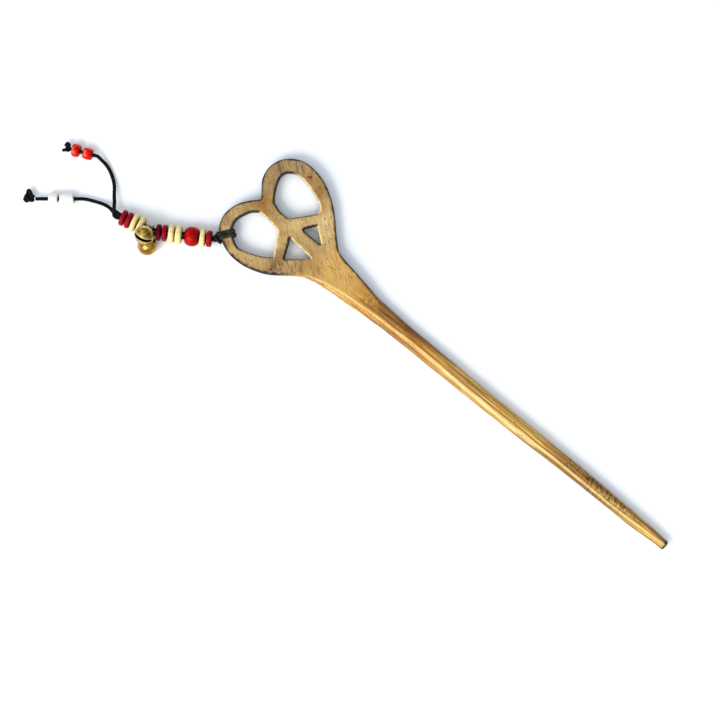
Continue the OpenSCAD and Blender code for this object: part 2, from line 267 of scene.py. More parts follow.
def bead_shader(name, tones, rough, side, rings=0.0, mottle=500, coat=0.0, worn=None, **sockets):
    """Painted, bone or glass bead; its local Z is the bore.

    tones are its dark, middle and light colour, side is the painted shade on its two ends, where
    beads meet, worn that of the chips on its rim, and rings is how strongly it is grooved round.
    """
    s = Shader(name, Coat_Weight=coat, Coat_Roughness=0.12, **sockets)
    cloud = s.noise(mottle, 4, 0.6)
    grain = s.noise(4200, 3, 0.6)
    colour = s.ramp(cloud, list(zip((0.34, 0.5, 0.66), tones)))
    layers = s.noise(1, 3, 0.6, vector=s.stretched((220, 220, 2600)))
    heights = [(cloud, 0.00010), (grain, 0.00002)]
    if rings:
        colour = s.mix(s.band(layers, 0.5, 0.66, 0, rings), colour, tones[0])
        heights.append((layers, 0.00012))
    # Painted shade on the bead's two ends, where it meets the next bead
    colour = s.tint(colour, "side", side, 0.85)
    if worn:
        chips = s.math("MULTIPLY", s.attribute("rim"), s.band(s.noise(1500, 4, 0.7), 0.56, 0.68))
        colour = s.mix(chips, colour, worn)
        heights.append((chips, -0.00003))
    # Painted shade inside the bore
    colour = s.tint(colour, "bore", (0.03, 0.02, 0.015))
    roughness = s.band(cloud, 0.3, 0.7, rough, rough + 0.14)
    return s.finish(colour, roughness, *heights)


def bell_brass():
    """Bright pressed brass with olive oxide in patches, painted shade inside that shows through the slot, a
    painted highlight on the slot's lips, and painted shade on the rims and on top of the lower bell.
    """
    s = Shader("bell_brass", Metallic=1.0)
    cloud = s.noise(330, 4, 0.6)
    fine = s.noise(2600, 4, 0.65)
    colour = s.ramp(cloud, [
        (0.37, (0.13, 0.10, 0.024)), (0.49, (0.60, 0.40, 0.075)), (0.60, (1.0, 0.78, 0.25)),
    ])
    colour = s.mix(s.band(fine, 0.55, 0.72, 0, 0.55), colour, (0.30, 0.16, 0.04))
    # Painted shade on the bells' rims as seen from above, and on top of the lower bell
    colour = s.tint(colour, "painted_bell_shade", (0.30, 0.15, 0.018))
    # Painted highlight on the slot's rolled lips
    colour = s.tint(colour, "lip", (0.98, 0.84, 0.50))
    # Painted shade on the inner surface, seen through the slot
    colour = s.tint(colour, "inside", (0.010, 0.006, 0.004))
    return s.finish(colour, s.band(fine, 0.3, 0.7, 0.16, 0.32), (cloud, 0.00014), (fine, 0.00002))


def pellet_steel():
    """Rolled steel shot, dulled by rattling."""
    s = Shader("pellet_steel", Metallic=1.0)
    wear = s.noise(2500, 4, 0.7)
    colour = s.ramp(wear, [(0.35, (0.26, 0.25, 0.24)), (0.65, (0.58, 0.57, 0.55))])
    return s.finish(colour, s.band(wear, 0.3, 0.7, 0.25, 0.5), (wear, 0.00002))


# One material for each of the record's slots
MATERIALS = {
    "carved_bone": carved_bone(),
    "waxed_cord": waxed_cord(),
    "bell_brass": bell_brass(),
    "pellet_steel": pellet_steel(),
    "cream_bone_bead": bead_shader(
        "cream_bone_bead", [(0.56, 0.34, 0.10), (0.88, 0.69, 0.29), (0.95, 0.82, 0.42)], 0.45,
        side=(0.46, 0.29, 0.10), rings=0.45, mottle=420, worn=(0.40, 0.22, 0.06), Specular_IOR_Level=0.2,
    ),
    "red_bead": bead_shader(
        "red_bead", [(0.07, 0.001, 0.003), (0.28, 0.002, 0.010), (0.48, 0.005, 0.022)], 0.3,
        side=(0.03, 0.001, 0.002), rings=0.4, coat=0.03, worn=(0.42, 0.012, 0.02), Specular_IOR_Level=0.05,
    ),
    "dark_red_bead": bead_shader(
        "dark_red_bead", [(0.03, 0.001, 0.001), (0.11, 0.001, 0.004), (0.24, 0.003, 0.010)], 0.3,
        side=(0.015, 0.001, 0.001), rings=0.4, coat=0.03, worn=(0.3, 0.01, 0.015), Specular_IOR_Level=0.05,
    ),
    "glossy_red_bead": bead_shader(
        "glossy_red_bead", [(0.16, 0.001, 0.001), (0.34, 0.001, 0.001), (0.54, 0.002, 0.002)], 0.1,
        side=(0.07, 0.001, 0.002), mottle=380, coat=0.08, worn=(0.06, 0.001, 0.003), Specular_IOR_Level=0.05,
    ),
    # Its light orange tone is also a painted highlight, in patches spread by noise
    "red_glass_bead": bead_shader(
        "red_glass_bead", [(0.24, 0.001, 0.001), (0.66, 0.006, 0.003), (0.95, 0.14, 0.06)], 0.1,
        side=(0.12, 0.001, 0.002), mottle=520, coat=0.025, Specular_IOR_Level=0.04,
    ),
    "white_glass_bead": bead_shader(
        "white_glass_bead", [(0.80, 0.79, 0.71), (0.92, 0.92, 0.88), (0.95, 0.95, 0.93)], 0.14,
        side=(0.80, 0.74, 0.60), mottle=350, coat=0.3, Transmission_Weight=0.12,
    ),
}


# ---------------------------------------------------------------- mesh helpers
def add_object(name, mesh, slot, place=None):
    made = bpy.data.objects.new(name, mesh)
    bpy.context.scene.collection.objects.link(made)
    if place:
        made.matrix_world = place
    mesh.materials.clear()
    mesh.materials.append(MATERIALS[slot])
    mesh.polygons.foreach_set("use_smooth", [True] * len(mesh.polygons))
    return made


def mesh_of(name, points, faces):
    mesh = bpy.data.meshes.new(name)
    mesh.from_pydata([tuple(p) for p in points], [], faces)
    mesh.update()
    return mesh


def set_attribute(mesh, name, values):
    attribute = mesh.attributes.new(name, "FLOAT", "POINT")
    attribute.data.foreach_set("value", np.asarray(values, np.float32))


def vectors(collection, key):
    found = np.zeros(len(collection) * 3)
    collection.foreach_get(key, found)
    return found.reshape(-1, 3)


def points_of(mesh):
    return vectors(mesh.vertices, "co")


def normals_of(mesh):
    return vectors(mesh.vertex_normals, "vector")


def smoothstep(low, high, values):
    t = np.clip((values - low) / (high - low), 0, 1)
    return t * t * (3 - 2 * t)


def wobble(points, size, seed):
    """Smooth noise from -1 to 1 at each point, with bumps about size metres across."""
    shift = Vector((seed * 7.3, seed * 3.1, seed * 5.7))
    return np.array([noise.noise(Vector(p) / size + shift) for p in points])


def with_modifiers(mesh, *modifiers):
    """A new mesh: mesh with each (kind, settings) applied in turn."""
    carrier = bpy.data.objects.new("carrier", mesh)
    bpy.context.scene.collection.objects.link(carrier)
    for kind, settings in modifiers:
        modifier = carrier.modifiers.new(kind, kind)
        for key, value in settings.items():
            setattr(modifier, key, value)
    depsgraph = bpy.context.evaluated_depsgraph_get()
    made = bpy.data.meshes.new_from_object(carrier.evaluated_get(depsgraph))
    bpy.data.objects.remove(carrier)
    return made


def catmull_rom(a, b, c, d, t):
    """A point between b and c, t from 0 to 1 along."""
    return 0.5 * (
        2 * b + (c - a) * t + (2 * a - 5 * b + 4 * c - d) * t * t + (3 * b - a - 3 * c + d) * t ** 3
    )


def even_path(points, step, closed=False):
    """Points evenly spaced along a smooth curve through the given ones."""
    p = [Vector(q) for q in points]
    n = len(p)
    spans = range(n if closed else n - 1)
    fine = []
    for i in spans:
        a = p[(i - 1) % n] if closed else p[max(i - 1, 0)]
        b, c = p[i], p[(i + 1) % n]
        d = p[(i + 2) % n] if closed else p[min(i + 2, n - 1)]
        fine += [catmull_rom(a, b, c, d, k / 16) for k in range(16)]
    fine.append(p[0].copy() if closed else p[-1])
    lengths = [0.0]
    for a, b in zip(fine, fine[1:]):
        lengths.append(lengths[-1] + (b - a).length)
    count = max(2, round(lengths[-1] / step))
    even, at = [], 0
    for k in range(count + (0 if closed else 1)):
        want = lengths[-1] * k / count
        while at < len(fine) - 2 and lengths[at + 1] < want:
            at += 1
        share = (want - lengths[at]) / max(lengths[at + 1] - lengths[at], 1e-12)
        even.append(fine[at].lerp(fine[at + 1], min(share, 1)))
    return even


# The cord's plies, the length of one twist, and how deep the grooves between them are
PLIES = 3
LAY = 0.0036
GROOVE = 0.06


def swept(paths, radius, sides=16, closed=False, groove=GROOVE, seed=0, press=None):
    """Points and faces of round tubes along paths, grooved between their twisted plies.

    press(spot) gives the direction that a flattened cord stays wide in, and how flat it is, 0 to 1.
    """
    points, faces = [], []
    for index, path in enumerate(paths):
        n = len(path)
        tangents = []
        for i in range(n):
            ahead = path[(i + 1) % n] if closed else path[min(i + 1, n - 1)]
            behind = path[(i - 1) % n] if closed else path[max(i - 1, 0)]
            tangents.append((ahead - behind).normalized())
        side = tangents[0].orthogonal().normalized()
        start, run = len(points), 0.0
        for i in range(n):
            if i:
                side = (side - tangents[i] * side.dot(tangents[i])).normalized()
                run += (path[i] - path[i - 1]).length
            up = tangents[i].cross(side)
            swell = 1 - 0.05 * (0.5 + 0.5 * noise.noise(Vector((run / 0.004, index * 9.1, seed * 3.3))))
            for k in range(sides):
                a = 2 * math.pi * k / sides
                ply = abs(math.cos(PLIES * (a - 2 * math.pi * run / LAY) / 2))
                r = radius * swell * (1 - groove * (1 - ply))
                out = side * (r * math.cos(a)) + up * (r * math.sin(a))
                if press:
                    wide, flat = press(path[i])
                    out = out * (1 - 0.4 * flat) + wide * (out.dot(wide) * 0.45 * flat)
                points.append(path[i] + out)
        rings = n if closed else n - 1
        for i in range(rings):
            a, b = start + i * sides, start + ((i + 1) % n) * sides
            faces += [(a + k, a + (k + 1) % sides, b + (k + 1) % sides, b + k) for k in range(sides)]
        if not closed:
            faces.append(tuple(start + k for k in reversed(range(sides))))
            faces.append(tuple(start + (n - 1) * sides + k for k in range(sides)))
    return points, faces


# ---------------------------------------------------------------- the cord, as part.scad lays it
CORD_D = 0.0012
CORD_R = CORD_D / 2
# From the middle of the doubled cord to the middle of each strand
BESIDE = 0.00061
STRAND_Z = 0.0031
HITCH_AT = Vector((-0.0808, -0.0145, 0))
HITCH_TURN = -30
STRAND_FROM = Vector((-0.08345, -0.01805, 0))
INNER = heading(212)
INNER_SIDE = heading(302)
INNER_LEN = 0.0186
OUTER = heading(194.5)
OUTER_SIDE = heading(284.5)
BEND_AT = STRAND_FROM + INNER_LEN * INNER

# The hitch's strap is pulled flat, and its loop tight, a little inside part.scad's plain solids
LEG_PLAN = [
    (-0.00262, 0.0033), (-0.00225, 0.00435), (0, 0.00482), (0.0018, 0.00472), (0.0025, 0.0037),
    (0.0025, 0.0016), (0.0019, 0.00075), (0, 0.00062), (-0.0021, 0.00075),
]
# The loop pulled tight by the two strands, its arms swept back to the band: s, w and z by the strand
KNOT_ARCH = [
    (-0.0014, -0.0016, 0.0021), (-0.0014, -0.0021, 0.0030), (-0.0012, -0.0017, 0.0041),
    (-0.0010, -0.0006, 0.00448), (-0.0016, 0.0003, 0.0042), (-0.0023, 0.0007, 0.0032),
    (-0.0023, 0.0002, 0.0021),
]
# Over the band the strap lies askew, in degrees, and shifted along the band
STRAP_ASKEW = 7
STRAP_SHIFT = 0.0004
# Where they leave the hitch the strands are pinched together, one higher than the other
PINCHED = 0.00026
PINCH_SHIFT = 0.0001
STACKED = 0.00038
RED_ROUTE = [
    (-0.113, -0.0303, 0.0037), (-0.1144, -0.0286, 0.0031), (-0.116, -0.0269, 0.0022),
    (-0.1183, -0.0243, 0.0011), (-0.121, -0.0224, 0.0007), (-0.1237, -0.0212, 0.0009),
    (-0.1265, -0.0208, 0.0016),
]
RED_END_AT = Vector((-0.1288, -0.0212, 0.00215))
RED_END = heading(204)
WHITE_ROUTE = [
    (-0.1133, -0.031, 0.0022), (-0.1152, -0.0308, 0.0017), (-0.1172, -0.0312, 0.0013),
    (-0.12, -0.0323, 0.0012), (-0.1226, -0.0336, 0.0015),
]
WHITE_END_AT = Vector((-0.1246, -0.0352, 0.00185))
WHITE_END = heading(219)
# Along the cord, from one ring of its mesh to the next
RING_STEP = 0.00022


def by_hitch(v, w, z):
    """In the seat under the band as part.scad has it; over the band the strap lies a little askew."""
    high = float(smoothstep(0.001, 0.004, np.array(z)))
    turn = HITCH_TURN - STRAP_ASKEW * high
    return HITCH_AT + v * heading(turn + 90) + (w - STRAP_SHIFT * high) * heading(turn) + Vector((0, 0, z))


def by_strand(s, w, z=STRAND_Z):
    return STRAND_FROM + s * INNER + w * INNER_SIDE + Vector((0, 0, z))


def by_outer(s, w, z=STRAND_Z):
    return BEND_AT + s * OUTER + w * OUTER_SIDE + Vector((0, 0, z))


def by_pinch(s, side):
    """Where the two strands are pinched by the hitch's loop."""
    return by_strand(s, side * PINCHED - PINCH_SHIFT, STRAND_Z + side * STACKED)


def cord_piece(name, paths, seed, worn=0.08, press=None):
    points, faces = swept(paths, CORD_R, seed=seed, press=press)
    mesh = mesh_of(name, points, faces)
    set_attribute(mesh, "worn", [worn] * len(points))
    return add_object(name, mesh, "waxed_cord")


def hitch_leg(side):
    """From the strand over the band, down inside the lobe and back under it."""
    top = [by_pinch(0, side), by_strand(-0.0009, side * 0.0007 - 0.0005, 0.0033)]
    return top + [by_hitch(v, side * BESIDE, z) for v, z in LEG_PLAN]


arch = [by_strand(*spot) for spot in KNOT_ARCH]
hitch_path = even_path(hitch_leg(-1) + arch + hitch_leg(1)[::-1], RING_STEP)


def strap_press(spot):
    """Flat against the band, and round again towards the beads."""
    on_band = (spot - HITCH_AT).dot(heading(HITCH_TURN + 90))
    return heading(HITCH_TURN), float(smoothstep(-0.0036, -0.0022, np.array(on_band)))


hitch = cord_piece("hitch_cord", [hitch_path], 1, worn=0.6, press=strap_press)
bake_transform(hitch)
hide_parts("cord_hitch", "cord_bight")

inner_paths = []
for side in (-1, 1):
    pinched = [by_pinch(s, side) for s in (-0.0009, 0.0008)]
    straight = [by_strand(s, side * BESIDE) for s in (0.004, 0.009, 0.013, 0.017)]
    inner_paths.append(even_path(pinched + straight, RING_STEP))
inner_strand = cord_piece("strand_cord_inner", inner_paths, 2)
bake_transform(inner_strand)
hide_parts("cord_inner")

bend_paths = []
for side in (-1, 1):
    before = [by_strand(s, side * BESIDE) for s in (0.0166, 0.0174, 0.0181)]
    after = [by_outer(s, side * BESIDE) for s in (0.0006, 0.0018, 0.0034, 0.005)]
    bend_paths.append(even_path(before + after, RING_STEP))
bend_strand = cord_piece("strand_cord_bend", bend_paths, 3)
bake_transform(bend_strand)
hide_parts("cord_outer")


def tail(name, node, side, route, end_at, end, stops, seed):
    """One strand through the last four beads and the split knot, and on as a single tail.

    It ends in a straight run from end_at along end, with its points at stops.
    """
    first = [by_outer(s, side * BESIDE) for s in (0.0042, 0.007, 0.0098, 0.0114, 0.0126)]
    last = [end_at + s * end for s in stops]
    path = even_path(first + [Vector(p) for p in route] + last, RING_STEP)
    made = cord_piece(name, [path], seed)
    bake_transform(made)
    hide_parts(node)
    return made, path


tail_red, red_path = tail(
    "tail_cord_red", "cord_tail_red", -1, RED_ROUTE, RED_END_AT, RED_END,
    (-0.0012, 0, 0.0025, 0.005, 0.0076), 4
)
tail_white, white_path = tail(
    "tail_cord_white", "cord_tail_white", 1, WHITE_ROUTE, WHITE_END_AT, WHITE_END,
    (0, 0.004, 0.008, 0.0126), 5
)


# ---------------------------------------------------------------- knots
def placed(centre, axis, up=Vector((0, 0, 1))):
    """Matrix with local Z along axis, at centre."""
    z = axis.normalized()
    x = up.cross(z).normalized()
    return Matrix.Translation(centre) @ Matrix((x, z.cross(x), z)).transposed().to_4x4()


def overhand(radius, length):
    """Closed path of a pulled-tight overhand knot, about local Z, inside radius and length."""
    points = []
    for k in range(48):
        t = 2 * math.pi * k / 48
        x = (math.sin(t) + 2 * math.sin(2 * t)) / 3
        y = (math.cos(t) - 2 * math.cos(2 * t)) / 3
        points.append(Vector((x * radius, y * radius, -math.sin(3 * t) * length / 2)))
    return even_path(points, RING_STEP, closed=True)


def centre_of(node):
    low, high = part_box(node)
    return (low + high) / 2


# A knot's cord is drawn thinner by the pull
KNOTTED_R = CORD_R * 0.86


def knot(name, node, body, axis, radius, length, ends, seed, shift=(0, 0, 0)):
    """A knot in place of node, with the short ends and loops of cord that stick out of it."""
    ring = overhand(radius - KNOTTED_R, length - 2 * KNOTTED_R)
    points, faces = swept([ring], KNOTTED_R, closed=True, seed=seed)
    if ends:
        more, more_faces = swept([even_path(e, RING_STEP) for e in ends], KNOTTED_R, seed=seed + 1)
        faces += [tuple(i + len(points) for i in f) for f in more_faces]
        points += more
    mesh = mesh_of(name, points, faces)
    mesh.transform(placed(centre_of(node), axis) @ Matrix.Translation(shift))
    set_attribute(mesh, "worn", [0.1] * len(points))
    made = add_object(name, mesh, "waxed_cord")
    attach(made, body)
    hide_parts(node)
    return made


# In a knot's own frame +Z runs on along the tail, and +X to its left as seen from above
knot_split = knot("knot_split", "split_knot", "strand_outer", OUTER, 0.00145, 0.0026, [], 11)
knot_red = knot(
    "knot_red_end", "end_knot_red", "tail_red", RED_END, 0.00125, 0.0018,
    [
        [(-0.0002, 0, -0.0003), (-0.0013, 0.0002, -0.0001), (-0.0014, 0.0002, 0.0006), (-0.0005, 0, 0.0009)],
        [(0.0002, 0, 0.0002), (0.0008, 0.0002, 0.0008), (0.0010, 0.0003, 0.0015)],
    ], 12
)
knot_white = knot(
    "knot_white_end", "end_knot_white", "tail_white", WHITE_END, 0.00155, 0.0026,
    [
        [(-0.0004, 0, -0.0004), (-0.0018, 0.0002, 0.0000), (-0.0023, 0.0002, 0.0006), (-0.0013, 0, 0.0010)],
        [(0, 0, 0.0004), (0.0003, 0.0001, 0.0014), (0.0009, 0.0001, 0.0021)],
        [(-0.0014, 0, 0.0006), (-0.0006, 0.0004, 0.0013), (0.0003, 0.0003, 0.0017)],
        [(0.0004, 0, 0.0004), (0.0011, 0.0003, 0.0009), (0.0010, 0.0002, 0.0017)],
    ], 13, shift=(-0.0004, 0, 0.0004)
)


# ---------------------------------------------------------------- beads
def bead_profile(outer, bore, half, squareness, dish):
    """(radius, z) from one end round the rim to the other, and back through the bore."""
    steps, wall = 22, 6
    profile = []
    for k in range(steps + 1):
        t = -math.pi / 2 + math.pi * k / steps
        reach = abs(math.cos(t)) ** (2 / squareness)
        z = math.copysign(abs(math.sin(t)) ** (2 / squareness), t) * half
        profile.append((bore + (outer - bore) * reach, z * (1 - dish * (1 - reach))))
    return profile + [(bore, profile[steps][1] * (1 - 2 * k / wall)) for k in range(1, wall)]


def bead(node, slot, length, bore, squareness, dish=0.0, dents=0.06, seed=0):
    """A turned bead with a soft rim, in place of node; squareness 2 is an ellipse, 8 nearly a tube.

    Its ends are sunk by dish, and it is worn by dents to a slight wedge with an uneven rim.
    """
    body = next(b for b, members in frame["record"]["behaviour"]["bodies"].items() if node in members)
    low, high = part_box(node)
    outer = (high.z - low.z) / 2
    half = length / 2
    turns = 56
    profile = bead_profile(outer, bore, half, squareness, dish)
    rows, points, rim, side, inside = len(profile), [], [], [], []
    for j in range(turns):
        a = 2 * math.pi * j / turns
        wedge = 1 - 2 * dents * (0.5 + 0.5 * math.cos(a + 2.1 * seed))
        for r, z in profile:
            spot = Vector((math.cos(a) * r, math.sin(a) * r, z)) / (outer * 0.9) + Vector((seed * 4.7, 0, 0))
            dent = 0.5 + 0.5 * noise.noise(spot)
            grown = bore + (r - bore) * (1 - dents * dent)
            points.append((grown * math.cos(a), grown * math.sin(a), z * wedge))
            reach, height = np.array(r / outer), np.array(abs(z) / half)
            rim.append(smoothstep(0.72, 1.0, reach) * smoothstep(0.4, 0.95, height))
            # Where the painted shade on the ends goes
            side.append(smoothstep(0.72, 0.98, height))
            # Where the painted shade inside the bore goes
            inside.append(1.0 if r <= bore * 1.001 and height < 0.95 else 0.0)
    faces = []
    for j in range(turns):
        a, b = j * rows, ((j + 1) % turns) * rows
        faces += [(a + k, b + k, b + (k + 1) % rows, a + (k + 1) % rows) for k in range(rows)]
    mesh = mesh_of(node + "_bead", points, faces)
    set_attribute(mesh, "rim", rim)
    set_attribute(mesh, "side", side)
    set_attribute(mesh, "bore", inside)
    made = add_object(node + "_piece", mesh, slot, placed(centre_of(node), AXES[body]))
    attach(made, body)
    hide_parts(node)


STRAND_BORE = 0.00135
TAIL_BORE = 0.00075
# Clear of its cord, which is still curving where this bead slides
WIDE_BORE = 0.00102
# Node, slot, length, bore, squareness, dish and, where the bead isn't as worn as most, dents
BEADS = [
    ("red_disc_1", "red_bead", 0.0020, STRAND_BORE, 3.2, 0.10),
    ("cream_disc_1", "cream_bone_bead", 0.0020, STRAND_BORE, 3.6, 0.08),
    ("red_barrel_bead", "glossy_red_bead", 0.0047, STRAND_BORE, 2.15, 0.0, 0.02),
    ("cream_disc_2", "cream_bone_bead", 0.0022, STRAND_BORE, 3.6, 0.08),
    ("cream_disc_3", "cream_bone_bead", 0.0022, STRAND_BORE, 3.6, 0.08),
    ("red_disc_2", "red_bead", 0.0018, STRAND_BORE, 3.2, 0.10),
    ("red_disc_3", "dark_red_bead", 0.0018, STRAND_BORE, 3.2, 0.10),
    ("cream_disc_4", "cream_bone_bead", 0.0023, STRAND_BORE, 3.2, 0.08),
    ("cream_disc_5", "cream_bone_bead", 0.0019, STRAND_BORE, 3.2, 0.08),
    ("red_disc_4", "red_bead", 0.0018, STRAND_BORE, 3.0, 0.10),
    ("red_disc_5", "red_bead", 0.0018, STRAND_BORE, 3.0, 0.10),
    ("red_seed_bead_1", "red_glass_bead", 0.0029, TAIL_BORE, 2.9, 0.0),
    ("red_seed_bead_2", "red_glass_bead", 0.0032, WIDE_BORE, 2.9, 0.0),
    ("white_tube_bead_1", "white_glass_bead", 0.0049, TAIL_BORE, 7.0, 0.0),
    ("white_tube_bead_2", "white_glass_bead", 0.0030, TAIL_BORE, 6.0, 0.0),
]
for number, row in enumerate(BEADS):
    bead(*row, seed=number + 1)


# ---------------------------------------------------------------- bells
BELL_R = 0.0030
BELL_WALL = 0.0004
# Half the slot's opening, and its turn about the cord's direction, in degrees
SLOT_HALF = 9
SLOT_TURN = -11
WIRE_R = 0.00025
# Place along the cord, turn round it, lean along it, and distance from it
BELLS = {"bell_1": (0.00225, 67, 6.1, 0.00565), "bell_2": (0.0007, -1.2, 7.5, 0.0047)}
# How much painted shade each gets where it faces up: bell_2 lies under bell_1
TOP_SHADE = {"bell_1": 0.0, "bell_2": 0.65}
# How far each loop reaches from its own centre: away from the bell, and across
LOOPS = {"bell_1": (0.00197, 0.00145), "bell_2": (0.0016, 0.00128)}


def bell_place(s, turn, lean, reach):
    """Local X along the cord, local Y away from it, towards the mouth."""
    turned = OUTER.to_track_quat("X", "Z").to_matrix().to_4x4()
    lay = turned @ Matrix.Rotation(math.radians(turn), 4, "X") @ Matrix.Rotation(math.radians(lean), 4, "Z")
    return Matrix.Translation(by_outer(s, 0)) @ lay @ Matrix.Translation((0, reach, 0))


def bell_mesh(name):
    """Pressed sphere with a slot whose lips are rolled outwards.

    Its rows run parallel to the slot, at the degrees in rows, and the slot is left out between the
    middle two, over the columns from slot_from to slot_to.
    """
    columns, slot_from, slot_to = 48, 1, 23
    upper = [SLOT_HALF, 11.5, 14.5, 19, 27, 38, 50, 62, 76]
    rows = [-a for a in reversed(upper)] + upper
    gap = len(upper) - 1
    spin = Matrix.Rotation(math.radians(SLOT_TURN), 3, "X")
    points, faces = [], []
    for row in rows:
        for c in range(columns):
            theta = 360 * c / columns
            along = smoothstep(0, 9, np.array(theta)) * smoothstep(180, 171, np.array(theta))
            lip = 0.00017 * along * math.exp(-((abs(row) - SLOT_HALF - 1.5) / 3.5) ** 2)
            closing = 1 - 0.75 * (1 - along) if abs(row) == SLOT_HALF and theta < 190 else 1
            r, phi, theta = BELL_R * 0.998 + lip, math.radians(row * closing), math.radians(theta)
            points.append(spin @ Vector((
                r * math.cos(phi) * math.cos(theta), r * math.cos(phi) * math.sin(theta), r * math.sin(phi)
            )))
    for i in range(len(rows) - 1):
        for c in range(columns):
            if i == gap and slot_from <= c < slot_to:
                continue
            a, b = i * columns + c, i * columns + (c + 1) % columns
            faces.append((a, b, b + columns, a + columns))
    for row, flip in ((0, True), (len(rows) - 1, False)):
        pole = len(points)
        points.append(spin @ Vector((0, 0, -BELL_R if flip else BELL_R)) * 0.998)
        for c in range(columns):
            a, b = row * columns + c, row * columns + (c + 1) % columns
            faces.append((pole, b, a) if flip else (pole, a, b))
    shell = with_modifiers(
        mesh_of(name, points, faces),
        ("SOLIDIFY", {"thickness": BELL_WALL, "offset": -1}), ("SUBSURF", {"levels": 2, "render_levels": 2}),
    )
    found = points_of(shell)
    radii = np.linalg.norm(found, axis=1)
    rise = found @ np.array(spin @ Vector((0, 0, 1)))
    mouth = found @ np.array(spin @ Vector((0, 1, 0)))
    # Painted shade on the inner surface, which shows through the slot
    set_attribute(shell, "inside", smoothstep(BELL_R - 0.00014, BELL_R - 0.00026, radii))
    # Painted highlight along the slot's rolled lips, towards the mouth
    lip = np.exp(-((np.abs(rise) - 0.00068) / 0.00022) ** 2) * smoothstep(0.0, 0.0012, mouth)
    set_attribute(shell, "lip", 0.5 * lip)
    return shell


def loop_mesh(name, reach, across):
    """Oval of wire drawn in to the cord; its two ends are soldered to the shell, thicker there."""
    centre = -BELL_R - reach - WIRE_R + 0.0001
    path = []
    for k in range(41):
        a = math.radians(90 + 14 + (360 - 28) * k / 40)
        path.append(Vector((0, centre + reach * math.sin(a), across * math.cos(a))))
    path[0].y += 0.00025
    path[-1].y += 0.00025
    points, faces = swept([even_path(path, 0.0002)], WIRE_R * 0.98, sides=14, groove=0.0)
    foot = centre + reach
    grown = []
    for p in points:
        near = math.exp(-((p.y - foot) / 0.00035) ** 2)
        grown.append(Vector((p.x * (1 + 0.9 * near), p.y, p.z)))
    mesh = mesh_of(name, grown, faces)
    for attribute in ("inside", "lip"):
        set_attribute(mesh, attribute, [0.0] * len(points))
    return mesh


for name, hang in BELLS.items():
    dome, ring = bell_mesh(name + "_dome"), loop_mesh(name + "_ring", *LOOPS[name])
    for mesh, node in ((dome, name + "_shell"), (ring, name + "_loop")):
        mesh.transform(bell_place(*hang))
        # Painted shade where the surface turns sideways, on the rim as seen from above, in place of darker
        # reflections there
        sideways = smoothstep(0.85, 0.25, normals_of(mesh)[:, 2])
        set_attribute(mesh, "painted_bell_shade", TOP_SHADE[name] + (0.85 - TOP_SHADE[name]) * sideways)
        piece = add_object(mesh.name, mesh, "bell_brass")
        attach(piece, name)
        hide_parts(node)
    pellet = frame["nodes"][name + "_pellet"]
    pellet.data.materials.clear()
    pellet.data.materials.append(MATERIALS["pellet_steel"])


# ---------------------------------------------------------------- the carved stick
VOXEL = 0.00026
SHAFT_Y = -0.0034
# The lists of places below are in millimetres
MM = 0.001
# The head's four openings: the middle, x and y, and how far a point on the walls can be from it
OPENINGS = [
    (-71.5, 8, 10), (-74.5, -8.5, 10), (-62, -4.8, 7.5), (-60.2, 3, 6),
]
# Listed marks: x, y, radius and strength
PITS = [
    (-63.6, -13.9, 0.45, 1.0), (-64.1, -13.1, 0.35, 0.9), (-71.9, 16, 0.5, 0.9),
    (-72.6, 15.6, 0.35, 0.8), (-76.2, 17, 0.35, 0.7), (-60.4, 8.8, 0.3, 0.8), (-57, 4, 0.3, 0.6),
    (-74.5, -16.9, 0.3, 0.7), (-70, -15.8, 0.3, 0.6), (-83.5, -6, 0.3, 0.6), (-79, -15.8, 0.3, 0.5),
    (-50, -2, 0.2, 0.5), (84.6, -2.8, 0.45, 0.7),
]
# Orange-brown at worn rims and in the notch
STAINS = [
    (-78.5, 0.2, 3.4, 0.95), (-76, -1.2, 2.6, 0.8), (-72, 15.2, 3, 0.6), (-66.8, 14, 2.6, 0.7),
    (-63, 11, 2.2, 0.55), (-79, -15.8, 2, 0.5), (-74, -16.3, 2.6, 0.25), (-69, -15.2, 2.6, 0.25),
    (-56, -7.5, 3, 0.45), (-52, -6, 3, 0.45), (-64, -14.5, 3, 0.4), (-56, -4, 2.6, 0.35),
    (-46, -3, 5, 0.25),
]
# Grey-brown where the face was left rough, and pale where it is worn smooth
DULLS = [
    (-81.5, 12, 5, 0.75), (-76.5, 16.3, 4, 0.65), (-80.5, 6, 3.5, 0.45), (-84.5, -9, 3.5, 0.15),
    (-56, -1, 3, 0.35), (-62, -13, 3, 0.4), (-57.5, 1, 3, 0.35),
]
PALES = [
    (-60, 8.5, 4.5, 1.0), (-57.5, 5, 3.5, 0.9), (-66, 0.8, 3, 0.5), (-74.5, -1, 2, 0.3),
    (-48, -2, 5, 0.55), (-70, -17.5, 2, 0.4), (-42, -4, 5, 0.5), (-66, -10, 1.8, 0.4),
    (-76.5, -16, 3, 0.6), (-71.5, -16, 3, 0.55), (-67, -15, 3, 0.45),
]
# Crosswise file marks on the head, and scuffs on the shaft
HATCHES = [
    (-80.5, 12.5, 5, 1.0), (-76.5, 16.5, 4, 1.0), (-72, 17, 3, 0.6), (-62.5, -12.5, 3.6, 1.0),
    (-57.5, -9.2, 3.6, 1.0), (-53, -6, 3, 0.7), (-70, -16.5, 3.4, 0.5), (-83, -6, 3.5, 0.4),
    (-59, 6, 4, 0.35),
]
SCUFFS = [
    (46, -2, 2.2, 0.6), (50, -1.8, 2.6, 0.8), (54.5, -1.9, 3, 1.0), (59, -1.8, 3, 1.0),
    (63.5, -2, 3, 1.0), (68, -2.2, 2.6, 0.9), (72, -2.5, 2.2, 0.5), (56, -5.2, 1, 0.9),
    (58.5, -5.2, 1, 1.0), (61, -5.2, 1, 1.0), (-33, -3, 6, 0.4), (-20, -3, 5, 0.4),
]
